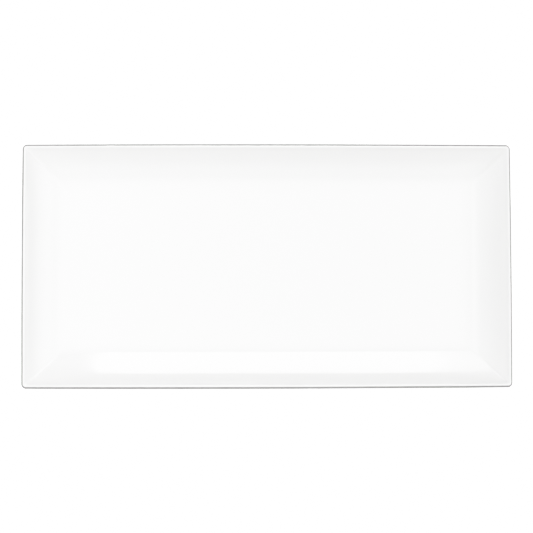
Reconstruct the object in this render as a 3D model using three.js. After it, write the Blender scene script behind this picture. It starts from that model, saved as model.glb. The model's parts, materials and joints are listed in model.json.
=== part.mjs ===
// A rectangular porcelain serving platter: a shallow well with four concave walls, a plain rim with rounded
// edges and a rectangular foot ring. Millimetres, +Z up, X along the length. The origin is under the centre
// of the platter, on the surface that it stands on.
//
// Every surface is lofted from plan outlines. An outline is named by its inset, the distance in from the
// rim's outer edge, so a section of the platter is a list of (inset, height) points.
import * as THREE from "three";

// Overall size.
const LENGTH = 355.6;
const WIDTH = 177.8;
const HEIGHT = 25.4;

// Plan. The sides bow outwards in the middle. The rim turns its small corner at an even width, each pair of
// walls meets in a crease, and the foot's corners are rounder.
const LONG_SIDE_BOW = 0.5;
const SHORT_SIDE_BOW = 0.3;
const RIM_CORNER_RADIUS = 3.5;
const CREASE_RADIUS = 1.5;
const FOOT_CORNER_RADIUS = 9;

// Section of the wall and the rim.
const WALL_INSET = 36; // from the rim's outer edge to the edge of the flat floor
const FLOOR_TOP = 7.8;
const UNDERSIDE = 3.4; // height of the platter's flat underside, outside the foot and inside it
const RIM_EDGE_RADIUS = 1; // of the rim's top and of its lower edge
const RIM_FACE = 2.3; // length of the rim's straight outer face, between those two roundings
const RIM_LEAN = THREE.MathUtils.degToRad(28); // of that face, inwards from upright
const RIM_SLOPE = THREE.MathUtils.degToRad(50); // of the wall where it meets the rim

// Section of the foot ring.
const FOOT_OUTER_INSET = 38.6;
const FOOT_INNER_INSET = 43.8;
const FOOT_FILLET = 1.2;
const FOOT_DRAFT = THREE.MathUtils.degToRad(10);
const FOOT_EDGE = 0.45; // chamfer beside the standing face

// Glaze. It stops short of the standing face, which is wiped clean before firing.
const GLAZE = 0.3;
const GLAZE_GAP = 0.1; // keeps the glaze solids clear of the porcelain
const GLAZE_END = 1.1; // height of the glaze's lower edge on the foot
const FOOT_JOINT_GAP = 0.1; // between the foot ring's top and the body

// Steps in the meshes.
const CORNER_STEPS = 7;
const LONG_SIDE_STEPS = 4;
const SHORT_SIDE_STEPS = 2;
const WALL_STEPS = 8;
const RIM_STEPS = 2; // on each side of the rim's top
const UNDERSIDE_STEPS = 4;
const FILLET_STEPS = 3;

const HALF_LENGTH = LENGTH / 2 - SHORT_SIDE_BOW;
const HALF_WIDTH = WIDTH / 2 - LONG_SIDE_BOW;
const BISCUIT_DEPTH = GLAZE + GLAZE_GAP; // how far the porcelain lies under the glazed surface
const FOOT_START_INSET = FOOT_OUTER_INSET - FOOT_FILLET;

const at = (inset, z) => new THREE.Vector2(inset, z);

// The corner radius of the outline at an inset. Past the walls it grows over the flat stretch of underside
// that lies between them and the foot.
function cornerRadius(inset) {
  const wallRadius = Math.max(RIM_CORNER_RADIUS - inset, CREASE_RADIUS);
  const share = THREE.MathUtils.clamp((inset - WALL_INSET) / (FOOT_START_INSET - WALL_INSET), 0, 1);
  return THREE.MathUtils.lerp(wallRadius, FOOT_CORNER_RADIUS, share);
}

// Moves a plan point out by the bow of the sides.
function bow(x, y) {
  const outX = 1 + (SHORT_SIDE_BOW / HALF_LENGTH) * (1 - (y / HALF_WIDTH) ** 2);
  const outY = 1 + (LONG_SIDE_BOW / HALF_WIDTH) * (1 - (x / HALF_LENGTH) ** 2);
  return [x * outX, y * outY];
}

// The points of one outline, counter-clockwise from above, at the height of the section's point.
function outline(point) {
  const radius = cornerRadius(point.x);
  const centreX = HALF_LENGTH - point.x - radius;
  const centreY = HALF_WIDTH - point.x - radius;
  const plan = [];
  for (let corner = 0; corner < 4; corner++) {
    const signX = corner === 1 || corner === 2 ? -1 : 1;
    const signY = corner < 2 ? 1 : -1;
    for (let i = 0; i <= CORNER_STEPS; i++) {
      const angle = (corner + i / CORNER_STEPS) * (Math.PI / 2);
      const x = signX * centreX + radius * Math.cos(angle);
      const y = signY * centreY + radius * Math.sin(angle);
      plan.push([x, y]);
    }
    const sideSteps = corner % 2 ? SHORT_SIDE_STEPS : LONG_SIDE_STEPS;
    const [startX, startY] = plan[plan.length - 1];
    const endX = corner % 2 ? startX : -startX;
    const endY = corner % 2 ? -startY : startY;
    for (let i = 1; i < sideSteps; i++) {
      const share = i / sideSteps;
      plan.push([startX + (endX - startX) * share, startY + (endY - startY) * share]);
    }
  }
  return plan.map(([x, y]) => [...bow(x, y), point.y]);
}

// A solid lofted through a section. An open section starts on the vertical axis through the centre, runs
// over the top, out and down, and ends on the axis again. A closed one goes round a ring.
function loft(section, closed) {
  const rings = section.map(outline);
  const count = rings[0].length;
  const positions = rings.flat();
  const faces = [];
  const corner = (ring, i) => (ring % rings.length) * count + (i % count);
  const bands = closed ? rings.length : rings.length - 1;
  for (let ring = 0; ring < bands; ring++) {
    for (let i = 0; i < count; i++) {
      faces.push(corner(ring, i), corner(ring + 1, i), corner(ring + 1, i + 1));
      faces.push(corner(ring, i), corner(ring + 1, i + 1), corner(ring, i + 1));
    }
  }
  if (!closed) {
    const last = rings.length - 1;
    const firstHub = positions.push([0, 0, section[0].y]) - 1;
    const lastHub = positions.push([0, 0, section[last].y]) - 1;
    for (let i = 0; i < count; i++) {
      faces.push(firstHub, corner(0, i), corner(0, i + 1));
      faces.push(lastHub, corner(last, i + 1), corner(last, i));
    }
  }
  const geometry = new THREE.BufferGeometry();
  geometry.setAttribute("position", new THREE.Float32BufferAttribute(positions.flat(), 3));
  geometry.setIndex(faces);
  geometry.computeVertexNormals();
  return geometry;
}

// Points of an arc about a centre, from one bearing to another. Bearing 0 points up and 90 degrees points
// to the platter's middle.
function arc(centre, radius, from, to, steps) {
  return Array.from({ length: steps + 1 }, (_, i) => {
    const bearing = from + ((to - from) * i) / steps;
    return at(centre.x + radius * Math.sin(bearing), centre.y + radius * Math.cos(bearing));
  });
}

// A curve that leaves one point level and reaches the other at the rim's slope.
function wallCurve(level, rim, steps) {
  const reach = Math.abs(rim.y - level.y) / Math.tan(RIM_SLOPE);
  const bend = at(rim.x + reach, level.y);
  return new THREE.QuadraticBezierCurve(level, bend, rim).getPoints(steps);
}

// The section from the edge of the well floor, up the wall, round the rim and back under to the edge of
// the underside, at a depth beneath the glazed surface.
function shellSection(depth) {
  const radius = RIM_EDGE_RADIUS - depth;
  const low = at(RIM_EDGE_RADIUS, HEIGHT - RIM_EDGE_RADIUS - RIM_FACE * Math.cos(RIM_LEAN));
  const high = at(low.x + RIM_FACE * Math.sin(RIM_LEAN), HEIGHT - RIM_EDGE_RADIUS);
  const outwards = RIM_LEAN - Math.PI / 2; // the bearing that the outer face looks along
  const inner = arc(high, radius, RIM_SLOPE, 0, RIM_STEPS);
  const outer = arc(high, radius, 0, outwards, RIM_STEPS);
  const edge = arc(low, radius, outwards, -Math.PI / 2, 1);
  const under = arc(low, radius, -Math.PI / 2, RIM_SLOPE - Math.PI, 1);
  const wall = wallCurve(at(WALL_INSET, FLOOR_TOP - depth), inner[0], WALL_STEPS);
  const underside = wallCurve(at(WALL_INSET, UNDERSIDE + depth), under[1], UNDERSIDE_STEPS);
  const top = [...wall, ...inner.slice(1), ...outer.slice(1)];
  return [...top, ...edge, ...under.slice(1), ...underside.reverse().slice(1)];
}

// The foot's outer side, from the underside down to a height, at a depth beneath the glazed surface.
function footOuterSide(depth, bottom) {
  const centre = at(FOOT_START_INSET, UNDERSIDE - FOOT_FILLET);
  const fillet = arc(centre, FOOT_FILLET + depth, 0, Math.PI / 2 - FOOT_DRAFT, FILLET_STEPS);
  const end = fillet.at(-1);
  const side = at(end.x + (end.y - bottom) * Math.tan(FOOT_DRAFT), bottom);
  return [...fillet, side];
}

// The foot's inner side, from a height up to the underside.
function footInnerSide(depth, bottom) {
  const centre = at(FOOT_INNER_INSET + FOOT_FILLET, UNDERSIDE - FOOT_FILLET);
  const fillet = arc(centre, FOOT_FILLET + depth, FOOT_DRAFT - Math.PI / 2, 0, FILLET_STEPS);
  const start = fillet[0];
  const side = at(start.x - (start.y - bottom) * Math.tan(FOOT_DRAFT), bottom);
  return [side, ...fillet];
}

function porcelainBody() {
  return loft(shellSection(BISCUIT_DEPTH), false);
}

// The ring stands on a flat face with chamfered edges, and its flat top meets the body's underside.
function footRing() {
  const outer = footOuterSide(BISCUIT_DEPTH, FOOT_EDGE);
  const inner = footInnerSide(BISCUIT_DEPTH, FOOT_EDGE);
  const top = UNDERSIDE + BISCUIT_DEPTH - FOOT_JOINT_GAP;
  const outerTop = at(outer[0].x, top);
  const innerTop = at(inner.at(-1).x, top);
  const faceOuter = at(outer.at(-1).x + FOOT_EDGE, 0);
  const faceInner = at(inner[0].x - FOOT_EDGE, 0);
  return loft([innerTop, outerTop, ...outer.slice(1), faceOuter, faceInner, ...inner.slice(0, -1)], true);
}

// The two faces of this skin are joined at its edge on the foot.
function faceGlaze() {
  const outside = [...shellSection(0), ...footOuterSide(0, GLAZE_END)];
  const inside = [...shellSection(GLAZE), ...footOuterSide(GLAZE, GLAZE_END)];
  return loft([...outside, ...inside.reverse()], false);
}

function undersideGlaze() {
  const outside = footInnerSide(0, GLAZE_END);
  const inside = footInnerSide(GLAZE, GLAZE_END);
  return loft([...inside.reverse(), ...outside], false);
}

const glazeMaterial = () =>
  new THREE.MeshStandardMaterial({ color: 0xf7f7f5, roughness: 0.08, metalness: 0 });
const biscuitMaterial = () =>
  new THREE.MeshStandardMaterial({ color: 0xeeece6, roughness: 0.75, metalness: 0 });

const platter = new THREE.Group();
const pieces = [
  ["porcelain_body", porcelainBody(), biscuitMaterial()],
  ["foot_ring", footRing(), biscuitMaterial()],
  ["face_glaze", faceGlaze(), glazeMaterial()],
  ["underside_glaze", undersideGlaze(), glazeMaterial()],
];
for (const [name, geometry, material] of pieces) {
  const mesh = new THREE.Mesh(geometry, material);
  mesh.name = name;
  platter.add(mesh);
}

export default platter;
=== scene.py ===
"""The looks of a rectangular porcelain serving platter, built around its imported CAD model.

Every size is in metres, in the CAD model's frame: X along the platter, Z up, the foot standing on Z = 0.
Each surface is lofted from plan outlines. An outline is named by its inset, the distance in from the rim's
outer edge, so a section of the platter is a list of (inset, height) points.
"""

import json
import math

import bpy
import numpy as np
from mathutils import Matrix, Vector, noise


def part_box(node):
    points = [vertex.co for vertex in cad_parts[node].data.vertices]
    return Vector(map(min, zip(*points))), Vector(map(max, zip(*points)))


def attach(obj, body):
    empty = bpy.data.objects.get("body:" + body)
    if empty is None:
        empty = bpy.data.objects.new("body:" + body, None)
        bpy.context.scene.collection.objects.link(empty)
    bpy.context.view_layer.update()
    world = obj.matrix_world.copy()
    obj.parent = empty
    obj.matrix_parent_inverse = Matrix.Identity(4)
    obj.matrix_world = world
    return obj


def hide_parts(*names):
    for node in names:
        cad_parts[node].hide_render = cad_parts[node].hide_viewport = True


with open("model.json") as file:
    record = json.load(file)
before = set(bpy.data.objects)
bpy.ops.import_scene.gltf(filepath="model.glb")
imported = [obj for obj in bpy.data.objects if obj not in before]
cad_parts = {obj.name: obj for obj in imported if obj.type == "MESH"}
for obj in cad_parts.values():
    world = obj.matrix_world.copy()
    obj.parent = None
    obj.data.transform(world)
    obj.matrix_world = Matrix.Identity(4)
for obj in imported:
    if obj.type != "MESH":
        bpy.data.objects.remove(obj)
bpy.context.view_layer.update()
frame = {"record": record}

MM = 0.001

# ---------------------------------------------------------------- sizes

face_low, face_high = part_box("face_glaze")
core_low, core_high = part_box("porcelain_body")
_, foot_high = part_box("foot_ring")

# The glaze lies on the porcelain with a hair of a gap, so that the two surfaces never meet.
GLAZE = 0.3 * MM
CORE_DEPTH = face_high.z - core_high.z

# Plan.
LONG_SIDE_BOW = 0.5 * MM
SHORT_SIDE_BOW = 0.3 * MM
HALF_LENGTH = face_high.x - SHORT_SIDE_BOW
HALF_WIDTH = face_high.y - LONG_SIDE_BOW
RIM_CORNER_RADIUS = 3.5 * MM
CREASE_RADIUS = 1.5 * MM
FOOT_CORNER_RADIUS = 9 * MM

# Section of the wall and the rim.
RIM_TOP = face_high.z
RIM_EDGE_RADIUS = 1 * MM  # of the rim's top and of its lower edge
RIM_FACE = 2.3 * MM  # length of the straight outer face between them
RIM_LEAN = math.radians(28)  # of that face, inwards from upright
RIM_SLOPE = math.radians(50)  # of the wall where it meets the rim
WALL_INSET = 36 * MM
FLOOR_TOP = frame["record"]["mounts"][1]["pos_m"][2]
UNDERSIDE = core_low.z - CORE_DEPTH

# Section of the foot ring.
FOOT_OUTER_INSET = 38.6 * MM
FOOT_INNER_INSET = 43.8 * MM
FOOT_FILLET = 1.2 * MM
FOOT_START_INSET = FOOT_OUTER_INSET - FOOT_FILLET
FOOT_DRAFT = math.radians(10)
FOOT_EDGE = 0.45 * MM
GLAZE_LINE = face_low.z + GLAZE / 2  # where the bead at the glaze's lower edge starts

# Unevenness of the fired piece. Waves are given as (share, length, seed).
SWELL = 0.12 * MM  # of the well floor and walls
SWELL_WAVES = ((1, 130 * MM, 3.1), (0.45, 45 * MM, 8.7))
SWELL_INSETS = (3 * MM, 20 * MM)  # where the swell starts and where it is full
CREEP = 0.16 * MM  # of the glaze's lower edge, upwards from its end
CREEP_WAVES = ((1, 11 * MM, 5.3), (0.4, 3.5 * MM, 1.9))
CREEP_MEAN = 0.6  # how far the edge lies above its end on average, as a share of the creep
CREEP_REACH = 0.9 * MM  # height above the glaze's lower edge where the creep has died away

# Painted shade on the rim's outer edge: a grey which the material adds, darkening the outline as shade would.
RIM_PAINTED_SHADE_DEPTHS = (13 * MM, 1.5 * MM)  # below the rim's top: where it has faded out and where it is full
RIM_PAINTED_SHADE_START = (0.35 * MM, 0.9 * MM)  # outwards from the rim's crest: where it starts and where it is full

# Steps in the meshes.
CORNER_STEPS = 20
LONG_SIDE_STEPS = 36
SHORT_SIDE_STEPS = 18
WALL_STEPS = 36
RIM_INNER_STEPS = 8
RIM_OUTER_STEPS = 10
RIM_FACE_STEPS = 3
RIM_EDGE_STEPS = 2
RIM_LOWER_STEPS = 8
FILLET_STEPS = 8
FOOT_SIDE_STEPS = 3
FOOT_EDGE_STEPS = 5
BEAD_STEPS = 5
FLOOR_STEPS = 24
FLOOR_HUB = 0.02  # share of the floor's outline that the last ring keeps

# ---------------------------------------------------------------- outlines and sections


def corner_radius(inset):
    """The corner radius of the outline at an inset. The rim turns its corner at an even width, each pair of
    walls meets in a crease, and past the walls the radius grows over the flat stretch before the foot."""
    wall_radius = max(RIM_CORNER_RADIUS - inset, CREASE_RADIUS)
    share = min(max((inset - WALL_INSET) / (FOOT_START_INSET - WALL_INSET), 0), 1)
    return wall_radius + (FOOT_CORNER_RADIUS - wall_radius) * share


def bow(x, y):
    """Moves plan points out by the bow of the sides."""
    out_x = 1 + SHORT_SIDE_BOW / HALF_LENGTH * (1 - (y / HALF_WIDTH) ** 2)
    out_y = 1 + LONG_SIDE_BOW / HALF_WIDTH * (1 - (x / HALF_LENGTH) ** 2)
    return x * out_x, y * out_y


def outline(inset):
    """The plan points of one outline, counter-clockwise from above, as an array of (x, y)."""
    radius = corner_radius(inset)
    centre_x, centre_y = HALF_LENGTH - inset - radius, HALF_WIDTH - inset - radius
    runs = []
    for corner, (sign_x, sign_y) in enumerate([(1, 1), (-1, 1), (-1, -1), (1, -1)]):
        angle = (corner + np.linspace(0, 1, CORNER_STEPS + 1)) * math.pi / 2
        arc_x = sign_x * centre_x + radius * np.cos(angle)
        arc_y = sign_y * centre_y + radius * np.sin(angle)
        runs.append(np.stack([arc_x, arc_y], 1))
        steps = SHORT_SIDE_STEPS if corner % 2 else LONG_SIDE_STEPS
        start = runs[-1][-1]
        end = start * ((1, -1) if corner % 2 else (-1, 1))
        share = np.linspace(0, 1, steps + 1)[1:-1, None]
        runs.append(start + (end - start) * share)
    x, y = np.concatenate(runs).T
    return np.stack(bow(x, y), 1)


def arc(centre, radius, start, end, steps):
    """Points of an arc. Bearing 0 points up and 90 degrees points to the platter's middle."""
    bearing = np.linspace(start, end, steps + 1)
    return np.stack([centre[0] + radius * np.sin(bearing), centre[1] + radius * np.cos(bearing)], 1)


def wall_curve(level, rim):
    """A curve that leaves one point level and reaches the other at the rim's slope."""
    bend = np.array([rim[0] + abs(rim[1] - level[1]) / math.tan(RIM_SLOPE), level[1]])
    t = np.linspace(0, 1, WALL_STEPS + 1)[:, None]
    return (1 - t) ** 2 * np.array(level) + 2 * t * (1 - t) * bend + t**2 * np.array(rim)


def shell_section(depth):
    """From the edge of the well floor, up the wall, round the rim and back under to the edge of the
    underside, at a depth beneath the glazed surface."""
    radius = RIM_EDGE_RADIUS - depth
    low = (RIM_EDGE_RADIUS, RIM_TOP - RIM_EDGE_RADIUS - RIM_FACE * math.cos(RIM_LEAN))
    high = (low[0] + RIM_FACE * math.sin(RIM_LEAN), RIM_TOP - RIM_EDGE_RADIUS)
    outwards = RIM_LEAN - math.pi / 2  # the bearing that the outer face looks along
    inner = arc(high, radius, RIM_SLOPE, 0, RIM_INNER_STEPS)
    outer = arc(high, radius, 0, outwards, RIM_OUTER_STEPS)
    edge = arc(low, radius, outwards, -math.pi / 2, RIM_EDGE_STEPS)
    under = arc(low, radius, -math.pi / 2, RIM_SLOPE - math.pi, RIM_LOWER_STEPS)
    share = np.linspace(0, 1, RIM_FACE_STEPS + 1)[1:-1, None]
    face = outer[-1] + share * (edge[0] - outer[-1])
    wall = wall_curve((WALL_INSET, FLOOR_TOP - depth), inner[0])
    underside = wall_curve((WALL_INSET, UNDERSIDE + depth), under[-1])[::-1]
    return np.concatenate([wall, inner[1:], outer[1:], face, edge, under[1:], underside[1:]])


def foot_side(depth, bottom, inner):
    """One side of the foot, from the underside down to a height, at a depth beneath the glazed surface."""
    side = -1 if inner else 1
    inset = FOOT_INNER_INSET if inner else FOOT_OUTER_INSET
    centre = (inset - side * FOOT_FILLET, UNDERSIDE - FOOT_FILLET)
    lean = math.pi / 2 - FOOT_DRAFT
    fillet = arc(centre, FOOT_FILLET + depth, 0, side * lean, FILLET_STEPS)
    drop = np.linspace(0, 1, FOOT_SIDE_STEPS + 1)[1:, None] * (fillet[-1][1] - bottom)
    straight = fillet[-1] + drop * (side * math.tan(FOOT_DRAFT), -1)
    return np.concatenate([fillet, straight])


def glaze_line(side):
    """How much each point of a glazed side follows the uneven lower edge of the glaze."""
    return smooth_step(side[:, 1], GLAZE_LINE + CREEP_REACH, GLAZE_LINE)


def rounded_end(outside, inside):
    """Half a turn between the ends of a skin's two faces, so that the glaze ends in a bead."""
    middle, reach = (outside + inside) / 2, (inside - outside) / 2
    across = np.array([reach[1], -reach[0]])
    if across[1] > 0:
        across = -across
    turn = np.linspace(0, math.pi, BEAD_STEPS + 1)[1:-1, None]
    return middle - reach * np.cos(turn) + across * np.sin(turn)


# ---------------------------------------------------------------- meshes


def waves(x, y, parts):
    """Smooth noise over plan points, added up from waves that each stay roughly within their share of 1."""
    total = np.zeros(len(x))
    for share, length, seed in parts:
        total += share * np.array([noise.noise(Vector((a / length, b / length, seed))) for a, b in zip(x, y)])
    return total


def smooth_step(value, start, end):
    t = np.clip((np.asarray(value) - start) / (end - start), 0, 1)
    return t * t * (3 - 2 * t)


def loft(name, section, closed=False, start_hub=False, end_hub=False, swell=None, creep=None, edge=None):
    """A mesh lofted through a section. Hubs fill its first or last outline with ever smaller copies.
    swell and creep say how much of the floor's swell and of the glaze line's creep each point of the section
    takes, and edge how much of the rim's painted shade."""
    still = np.zeros(len(section))
    swell = still if swell is None else swell
    creep = still if creep is None else creep
    edge = still if edge is None else edge
    scales = np.linspace(1, FLOOR_HUB, FLOOR_STEPS + 1)[1:]
    rings = [(1, i) for i in range(len(section))]
    if start_hub:
        rings = [(k, 0) for k in scales[::-1]] + rings
    if end_hub:
        rings += [(k, len(section) - 1) for k in scales]
    points = []
    for scale, i in rings:
        inset, z = section[i]
        x, y = outline(inset).T * scale
        lift = np.zeros(len(x))
        if swell[i]:
            lift += swell[i] * SWELL * waves(x, y, SWELL_WAVES)
        if creep[i]:
            lift += creep[i] * CREEP * (CREEP_MEAN + waves(x, y, CREEP_WAVES))
        points.append(np.column_stack([x, y, z + lift]))
    count = len(points[0])
    faces = []
    for ring in range(len(rings) if closed else len(rings) - 1):
        here, there = ring * count, (ring + 1) % len(rings) * count
        for i in range(count):
            after = (i + 1) % count
            faces.append((here + i, there + i, there + after, here + after))
    if start_hub:
        faces.append(tuple(range(count)))
    if end_hub:
        last = (len(rings) - 1) * count
        faces.append(tuple(last + i for i in reversed(range(count))))
    mesh = bpy.data.meshes.new(name)
    mesh.from_pydata(np.concatenate(points).tolist(), [], faces)
    mesh.shade_smooth()
    # The edge attribute carries the rim's painted shade, a grey that darkens the outline, to the glaze.
    tone = mesh.attributes.new("edge", "FLOAT", "POINT")
    tone.data.foreach_set("value", np.repeat([edge[i] for scale, i in rings], count))
    piece = bpy.data.objects.new(name, mesh)
    bpy.context.scene.collection.objects.link(piece)
    return piece


def floor_swell(section):
    """The well floor and walls take the swell, which dies away towards the rim and is none behind it."""
    share = smooth_step(section[:, 0], *SWELL_INSETS)
    share[int(np.argmax(section[:, 1])) :] = 0
    return share


def rim_painted_shade(section):
    """The rim's painted shade, a grey that darkens its outer edge as shade would: it starts outside the
    crest, is strongest on the outer face and fades out down the outside of the walls."""
    crest = int(np.argmax(section[:, 1]))
    share = smooth_step(RIM_TOP - section[:, 1], *RIM_PAINTED_SHADE_DEPTHS)
    share *= smooth_step(section[crest, 0] - section[:, 0], *RIM_PAINTED_SHADE_START)
    share[:crest] = 0
    return share


def make_face():
    outside, inside = (
        np.concatenate([shell_section(depth), foot_side(depth, GLAZE_LINE, inner=False)])
        for depth in (0, GLAZE)
    )
    bead = rounded_end(outside[-1], inside[-1])
    swell = np.concatenate([floor_swell(outside), np.zeros(len(bead)), floor_swell(inside)[::-1]])
    run = glaze_line(outside)
    creep = np.concatenate([run, np.ones(len(bead)), run[::-1]])
    # edge: how much painted shade each point of the rim's outer edge takes.
    edge = np.concatenate([rim_painted_shade(outside), np.zeros(len(bead)), rim_painted_shade(inside)[::-1]])
    section = np.concatenate([outside, bead, inside[::-1]])
    return loft("glazed_face", section, start_hub=True, end_hub=True, swell=swell, creep=creep, edge=edge)


def make_underside():
    outside, inside = (foot_side(depth, GLAZE_LINE, inner=True) for depth in (0, GLAZE))
    bead = rounded_end(inside[-1], outside[-1])
    run = glaze_line(outside)
    creep = np.concatenate([run, np.ones(len(bead)), run[::-1]])
    section = np.concatenate([inside, bead, outside[::-1]])
    return loft("glazed_underside", section, start_hub=True, end_hub=True, creep=creep)


def make_core():
    section = shell_section(CORE_DEPTH)
    return loft("porcelain_core", section, start_hub=True, end_hub=True, swell=floor_swell(section))


def make_foot():
    """The standing face has rounded edges, which keep inside the CAD model's chamfers."""
    outer = foot_side(CORE_DEPTH, FOOT_EDGE, inner=False)
    inner = foot_side(CORE_DEPTH, FOOT_EDGE, inner=True)[::-1]
    outer[0][1] = inner[-1][1] = foot_high.z
    turn = np.linspace(0, math.pi / 2, FOOT_EDGE_STEPS + 1)[1:, None]
    round_outer = outer[-1] + FOOT_EDGE * np.concatenate([1 - np.cos(turn), -np.sin(turn)], 1)
    round_inner = inner[0] + FOOT_EDGE * np.concatenate([np.cos(turn) - 1, -np.sin(turn)], 1)
    section = np.concatenate([outer, round_outer, round_inner[::-1], inner])
    return loft("bare_foot", section, closed=True)


# ---------------------------------------------------------------- materials


class Graph:
    """Short ways to add nodes to a material or to the world."""

    def __init__(self, tree, coordinates):
        self.nodes, self.links = tree.nodes, tree.links
        self.place = self.nodes.new("ShaderNodeTexCoord").outputs[coordinates]
        split = self.nodes.new("ShaderNodeSeparateXYZ")
        self.links.new(self.place, split.inputs[0])
        self.x, self.y, self.z = split.outputs

    def connect(self, value, socket):
        if isinstance(value, (int, float)):
            socket.default_value = value
        else:
            self.links.new(value, socket)

    def noise(self, length, detail, stretch=(1, 1, 1)):
        """Noise from 0 to 1 with waves of about a length, stretched along the axes."""
        size = self.nodes.new("ShaderNodeVectorMath")
        size.operation = "MULTIPLY"
        size.inputs[1].default_value = [1 / (length * k) for k in stretch]
        self.links.new(self.place, size.inputs[0])
        texture = self.nodes.new("ShaderNodeTexNoise")
        texture.inputs["Scale"].default_value = 1
        texture.inputs["Detail"].default_value = detail
        self.links.new(size.outputs[0], texture.inputs["Vector"])
        return texture.outputs["Fac"]

    def patches(self, length, detail, low, high):
        """Noise with waves of about a length, spread out so that it runs from one value to another."""
        return self.remap(self.noise(length, detail), 0.3, 0.7, low, high)

    def pits(self, spacing, radius):
        """0 in round pits a spacing apart, 1 between them."""
        texture = self.nodes.new("ShaderNodeTexVoronoi")
        texture.inputs["Scale"].default_value = 1 / spacing
        self.links.new(self.place, texture.inputs["Vector"])
        return self.remap(texture.outputs["Distance"], 0, radius / spacing, 0, 1)

    def attribute(self, name):
        node = self.nodes.new("ShaderNodeAttribute")
        node.attribute_name = name
        return node.outputs["Fac"]

    def remap(self, value, low, high, new_low, new_high):
        node = self.nodes.new("ShaderNodeMapRange")
        node.interpolation_type = "SMOOTHSTEP"
        for name, number in zip(("From Min", "From Max", "To Min", "To Max"), (low, high, new_low, new_high)):
            node.inputs[name].default_value = number
        self.links.new(value, node.inputs["Value"])
        return node.outputs["Result"]

    def math(self, operation, a, b):
        node = self.nodes.new("ShaderNodeMath")
        node.operation = operation
        self.connect(a, node.inputs[0])
        self.connect(b, node.inputs[1])
        return node.outputs[0]

    def mix(self, share, a, b):
        """A colour between two others, each of them a colour or the output of a node."""
        node = self.nodes.new("ShaderNodeMixRGB")
        self.links.new(share, node.inputs["Fac"])
        for value, name in ((a, "Color1"), (b, "Color2")):
            if isinstance(value, tuple):
                node.inputs[name].default_value = (*value, 1)
            else:
                self.links.new(value, node.inputs[name])
        return node.outputs["Color"]


class Material(Graph):
    """A material with a Principled shader, mapped in the platter's own frame."""

    def __init__(self, name):
        self.material = bpy.data.materials.new(name)
        self.material.use_nodes = True
        super().__init__(self.material.node_tree, "Object")
        self.shader = self.nodes["Principled BSDF"]

    def set(self, name, value):
        self.connect(value, self.shader.inputs[name])

    def bump(self, *heights):
        """Stacks bumps, each a value from 0 to 1 and the height of its full range."""
        normal = None
        for value, height in heights:
            node = self.nodes.new("ShaderNodeBump")
            node.inputs["Distance"].default_value = height
            self.links.new(value, node.inputs["Height"])
            if normal:
                self.links.new(normal, node.inputs["Normal"])
            normal = node.outputs["Normal"]
        self.set("Normal", normal)


def make_glaze():
    """A clear gloss over white porcelain: thick in the well, thinner up the walls and faintly cloudy. The
    rim's outer edge is mixed towards grey, painted shade that darkens the outline."""
    thick, thin, cloudy = (0.876, 0.879, 0.876), (0.884, 0.883, 0.878), (0.862, 0.864, 0.859)
    # grey is painted shade for the rim's outer edge.
    grey = (0.430, 0.429, 0.425)
    glaze = Material("white_glaze")
    height = glaze.remap(glaze.z, FLOOR_TOP, RIM_TOP - 4 * MM, 0, 1)
    # Painted shade: the edge attribute, broken up by patches, mixes the colour towards grey.
    edge = glaze.math("MULTIPLY", glaze.attribute("edge"), glaze.patches(7 * MM, 3, 0.93, 1))
    clear = glaze.mix(edge, glaze.mix(height, thick, thin), grey)
    clouds = glaze.patches(50 * MM, 3, 0, 0.3)
    glaze.set("Base Color", glaze.mix(clouds, clear, glaze.mix(edge, cloudy, grey)))
    haze = glaze.remap(glaze.noise(16 * MM, 4), 0.35, 0.75, 0.055, 0.105)
    worn = glaze.remap(glaze.z, RIM_TOP - 0.8 * MM, RIM_TOP, 0, 0.05)
    glaze.set("Roughness", glaze.math("ADD", haze, worn))
    glaze.set("IOR", 1.56)
    glaze.bump(
        (glaze.noise(15 * MM, 1), 0.018 * MM),
        (glaze.noise(1.7 * MM, 1), 0.0035 * MM),
        (glaze.pits(38 * MM, 0.14 * MM), 0.03 * MM),
    )
    return glaze.material


def make_biscuit():
    """Fired porcelain with no glaze on it: a dry, fine and slightly warm grain."""
    light, dark, warm = (0.815, 0.800, 0.765), (0.765, 0.745, 0.705), (0.800, 0.775, 0.730)
    biscuit = Material("biscuit")
    grain = biscuit.patches(0.5 * MM, 3, 0, 0.6)
    clouds = biscuit.patches(24 * MM, 3, 0, 0.5)
    biscuit.set("Base Color", biscuit.mix(clouds, biscuit.mix(grain, light, dark), warm))
    biscuit.set("Roughness", biscuit.patches(3 * MM, 3, 0.62, 0.82))
    biscuit.bump((biscuit.noise(0.6 * MM, 3), 0.02 * MM))
    return biscuit.material


def make_ground_foot():
    """Bare porcelain that was ground along its length. The standing face is smoother and a little grey."""
    light, dark, marked = (0.800, 0.782, 0.742), (0.735, 0.712, 0.668), (0.600, 0.580, 0.545)
    foot = Material("ground_foot")
    scratches = foot.noise(0.25 * MM, 3, stretch=(60, 1, 1))
    grain = foot.patches(0.45 * MM, 3, 0, 0.7)
    stands = foot.remap(foot.z, 0, 0.35 * MM, 1, 0)
    marks = foot.remap(foot.noise(9 * MM, 4), 0.4, 0.7, 0.15, 0.75)
    marks = foot.math("MULTIPLY", stands, marks)
    foot.set("Base Color", foot.mix(marks, foot.mix(grain, light, dark), marked))
    foot.set("Roughness", foot.remap(scratches, 0.3, 0.7, 0.5, 0.72))
    foot.bump((foot.noise(0.6 * MM, 3), 0.015 * MM), (scratches, 0.008 * MM))
    return foot.material


# ---------------------------------------------------------------- camera, floor and light

CAMERA_DISTANCE = 1.2
CAMERA_SENSOR = 36  # millimetres wide
CAMERA_LENS = 111.9  # millimetres
CAMERA_OFFSET = Vector((-35.2, -68)) * MM
CAMERA_TARGET = Vector((-0.81, -0.46)) * MM
CAMERA_ROLL = math.radians(-0.154)
CAMERA_RIM_DROP = 1.7 * MM  # of the height that the camera is aimed at, below the rim's top

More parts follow.
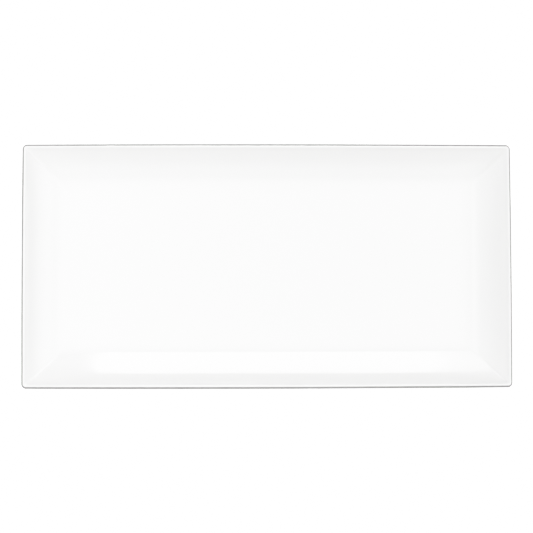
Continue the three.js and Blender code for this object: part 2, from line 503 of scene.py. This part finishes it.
# The floor. It is brighter to the camera than it is to the light that it bounces.
FLOOR_REACH = 15  # to each side
FLOOR_SHOWN = (0.80, 0.81)  # darkest and lightest
FLOOR_GLOW = 0.5
FLOOR_BOUNCE = 0.7

# The sky: strength, favoured side, and the sines of the elevations over which it rises and fades again.
SKY = (
    (1.35, None, (0.80, 0.98), None),
    (0.88, "+x", (0.25, 0.75), None),
    (0.41, "-y", (0.25, 0.75), None),
    (0.70, "+x", (0.15, 0.40), (0.60, 0.85)),
    (0.52, "+y", (0.15, 0.40), (0.60, 0.85)),
    (0.33, "-y", (0.15, 0.40), (0.60, 0.85)),
)
SKY_SIDE = (0.05, 0.8)  # how far to its favoured side a part starts and is full, as cosines
# The soft boxes: name, bearing, distance, lowest and highest elevation, width, shift, radiance and whether
# only their reflections show.
SOFTBOXES = (
    ("back", 90, 1.2, 15.3, 63.5, 0.52, -0.04, 3.85, True),
    ("back_end", 90, 1.2, 15.3, 63.5, 0.07, -0.335, 2.0, True),
    ("left", 180, 1.6, 15, 75, 1.6, 0, 1.08, False),
    ("low_left", 180, 1.6, 3, 15, 2.0, 0, 1.34, True),
    ("low_front", -90, 1.6, 3, 15, 2.6, 0, 0.54, True),
    ("low_back", 90, 1.6, 3, 15, 2.6, 0, 0.65, True),
)
# Scene brightness against shown brightness.
TONES = (
    (0, 0), (0.15, 0.16), (0.25, 0.285), (0.35, 0.435), (0.5, 0.67),
    (0.6, 0.825), (0.7, 0.91), (0.8, 0.96), (1, 1),
)


def make_camera():
    rim = RIM_TOP - CAMERA_RIM_DROP
    height = math.sqrt(CAMERA_DISTANCE**2 - CAMERA_OFFSET.length_squared)
    place = Vector((*CAMERA_OFFSET, rim + height))
    forward = (Vector((*CAMERA_TARGET, rim)) - place).normalized()
    right = forward.cross(Vector((0, 1, 0))).normalized()
    up = right.cross(forward)
    turned = Matrix((right, up, -forward)).transposed() @ Matrix.Rotation(CAMERA_ROLL, 3, "Z")
    camera = bpy.data.objects.new("camera", bpy.data.cameras.new("camera"))
    camera.data.sensor_width = CAMERA_SENSOR
    camera.data.lens = CAMERA_LENS
    camera.matrix_world = Matrix.Translation(place) @ turned.to_4x4()
    bpy.context.scene.collection.objects.link(camera)
    bpy.context.scene.camera = camera


def make_floor():
    corners = [(x * FLOOR_REACH, y * FLOOR_REACH, 0) for x, y in ((-1, -1), (1, -1), (1, 1), (-1, 1))]
    mesh = bpy.data.meshes.new("floor")
    mesh.from_pydata(corners, [], [(0, 1, 2, 3)])
    floor = bpy.data.objects.new("floor", mesh)
    bpy.context.scene.collection.objects.link(floor)
    paper = Material("floor")
    seen = paper.nodes.new("ShaderNodeLightPath").outputs["Is Camera Ray"]
    grain = paper.patches(40 * MM, 3, 0, 1)
    shown = paper.mix(grain, *((tone, tone, tone) for tone in FLOOR_SHOWN))
    paper.set("Base Color", paper.mix(seen, (FLOOR_BOUNCE, FLOOR_BOUNCE, FLOOR_BOUNCE), shown))
    paper.set("Specular IOR Level", 0.0)
    paper.set("Roughness", 1.0)
    paper.shader.inputs["Emission Color"].default_value = (1, 1, 1, 1)
    paper.set("Emission Strength", paper.math("MULTIPLY", seen, FLOOR_GLOW))
    floor.data.materials.append(paper.material)


def softbox(name, bearing, distance, low, high, width, shift, radiance, reflection_only):
    """A soft box that faces the platter. It fills the view from there between two elevations, in degrees,
    on a bearing counted counter-clockwise from the right, and is shifted sideways. A reflection_only box
    shows in glossy surfaces and lights nothing else."""
    middle = math.radians((low + high) / 2)
    height = 2 * distance * math.tan(math.radians((high - low) / 2))
    towards = Matrix.Rotation(math.radians(bearing), 3, "Z") @ Vector((1, 0, 0))
    sideways = Vector((-towards.y, towards.x, 0)) * shift
    data = bpy.data.lights.new(name, "AREA")
    data.shape = "RECTANGLE"
    data.size, data.size_y = width, height
    data.energy = math.pi * width * height * radiance
    light = bpy.data.objects.new(name, data)
    light.location = towards * distance * math.cos(middle) + sideways
    light.location.z += distance * math.sin(middle)
    light.rotation_mode = "QUATERNION"
    light.rotation_quaternion = (sideways - light.location).to_track_quat("-Z", "Y")
    light.visible_camera = False
    light.visible_diffuse = not reflection_only
    bpy.context.scene.collection.objects.link(light)


def make_world():
    """A soft sky whose parts are given in SKY. The camera itself sees plain white behind the floor."""
    world = bpy.data.worlds.new("world")
    bpy.context.scene.world = world
    world.use_nodes = True
    sky = Graph(world.node_tree, "Generated")
    total = 0.0
    for strength, side, rise, fade in SKY:
        part = sky.math("MULTIPLY", sky.remap(sky.z, *rise, 0, 1), strength)
        if side:
            axis = sky.x if side[1] == "x" else sky.y
            lean = sky.math("MULTIPLY", axis, 1.0 if side[0] == "+" else -1.0)
            part = sky.math("MULTIPLY", part, sky.remap(lean, *SKY_SIDE, 0, 1))
        if fade:
            part = sky.math("MULTIPLY", part, sky.remap(sky.z, *fade, 1, 0))
        total = sky.math("ADD", part, total)
    seen = sky.nodes.new("ShaderNodeLightPath").outputs["Is Camera Ray"]
    background = sky.nodes["Background"]
    background.inputs["Color"].default_value = (1, 1, 1, 1)
    sky.connect(sky.math("MAXIMUM", total, seen), background.inputs["Strength"])


def set_tones():
    """Bright tones roll off towards white, as a camera set for a white subject on white renders them."""
    view = bpy.context.scene.view_settings
    view.view_transform = "Standard"
    view.use_curve_mapping = True
    curve = view.curve_mapping.curves[3]
    for x, y in TONES[1:-1]:
        curve.points.new(x, y)
    curve.points[0].location, curve.points[-1].location = TONES[0], TONES[-1]
    view.curve_mapping.extend = "HORIZONTAL"
    view.curve_mapping.update()


def place(piece, material, material_slot, *nodes):
    piece.data.materials.append(material)
    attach(piece, "root")
    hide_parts(*nodes)


glaze = make_glaze()
place(make_face(), glaze, "white_glaze", "face_glaze")
place(make_underside(), glaze, "white_glaze", "underside_glaze")
place(make_core(), make_biscuit(), "biscuit_porcelain", "porcelain_body")
place(make_foot(), make_ground_foot(), "ground_foot", "foot_ring")

make_camera()
make_floor()
make_world()
for box in SOFTBOXES:
    softbox(*box)
set_tones()
